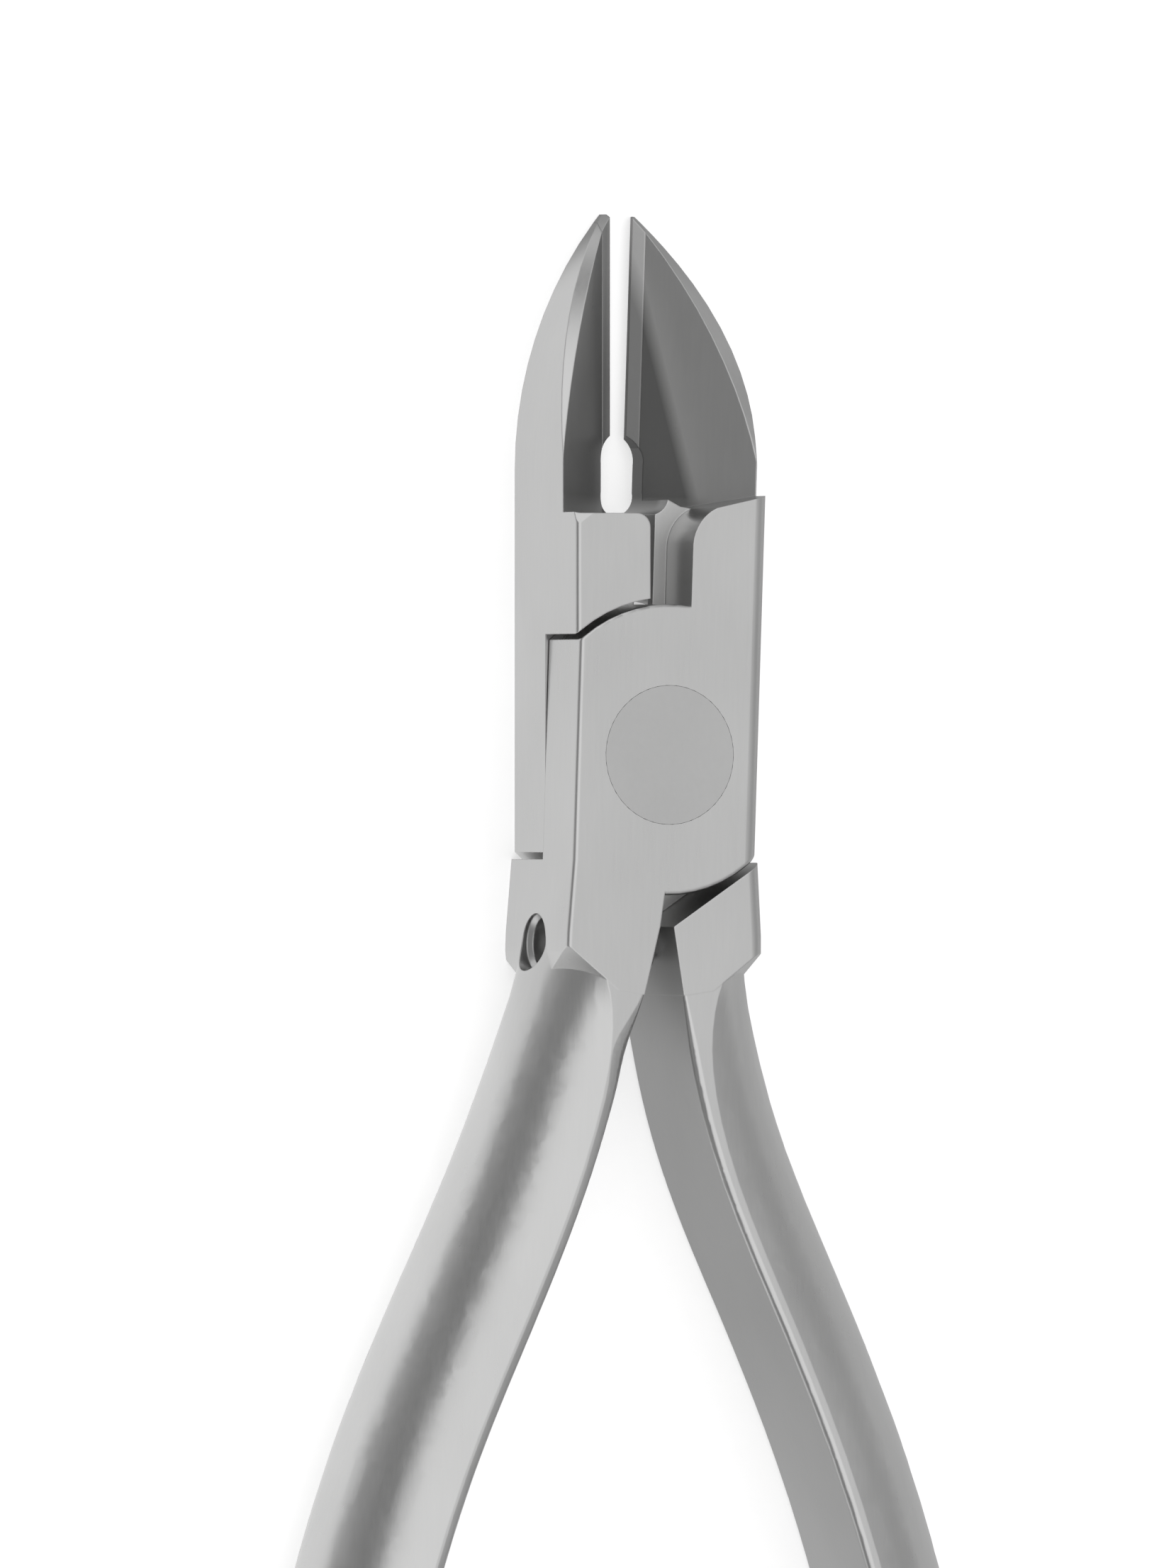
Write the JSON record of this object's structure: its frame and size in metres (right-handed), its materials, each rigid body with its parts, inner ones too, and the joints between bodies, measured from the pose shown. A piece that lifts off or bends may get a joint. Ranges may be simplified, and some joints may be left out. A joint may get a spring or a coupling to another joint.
{
  "type": "sprue nippers",
  "caption": "All-steel lap-joint side cutters with slim pointed jaws, a flush pivot screw, shouldered bosses and bowed bare handles, sprung at the joint.",
  "frame": {"origin": "pivot axis where it meets the flat back plane that the tool rests on", "axes": "+Z out of the front face along the pivot, +Y along the tool towards the jaw tips, +X to the right seen from the front"},
  "size_m": [0.0439, 0.1287, 0.0082],
  "materials": {
    "rear_half": "fine satin brushing",
    "left_cutting_insert": "ground",
    "pivot_screw": "fine matt turned face",
    "right_spring_seat": "machined",
    "return_spring": "drawn wire",
    "front_half": "fine satin brushing",
    "right_cutting_insert": "ground",
    "left_spring_seat": "machined"
  },
  "bodies": {
    "rear": {"rear_half": "rear_half", "left_cutting_insert": "left_cutting_insert", "pivot_screw": "pivot_screw", "right_spring_seat": "right_spring_seat", "return_spring": "return_spring"},
    "front": {"front_half": "front_half", "right_cutting_insert": "right_cutting_insert", "left_spring_seat": "left_spring_seat"}
  },
  "joints": [
    {"name": "pivot", "type": "hinge", "parent": "rear", "child": "front", "pos_m": [0, 0, 0], "axis": [0, 0, -1], "range_deg": [-2.4, 12], "stiffness_Nm_per_rad": 0.3, "deforming": ["return_spring"]}
  ]
}
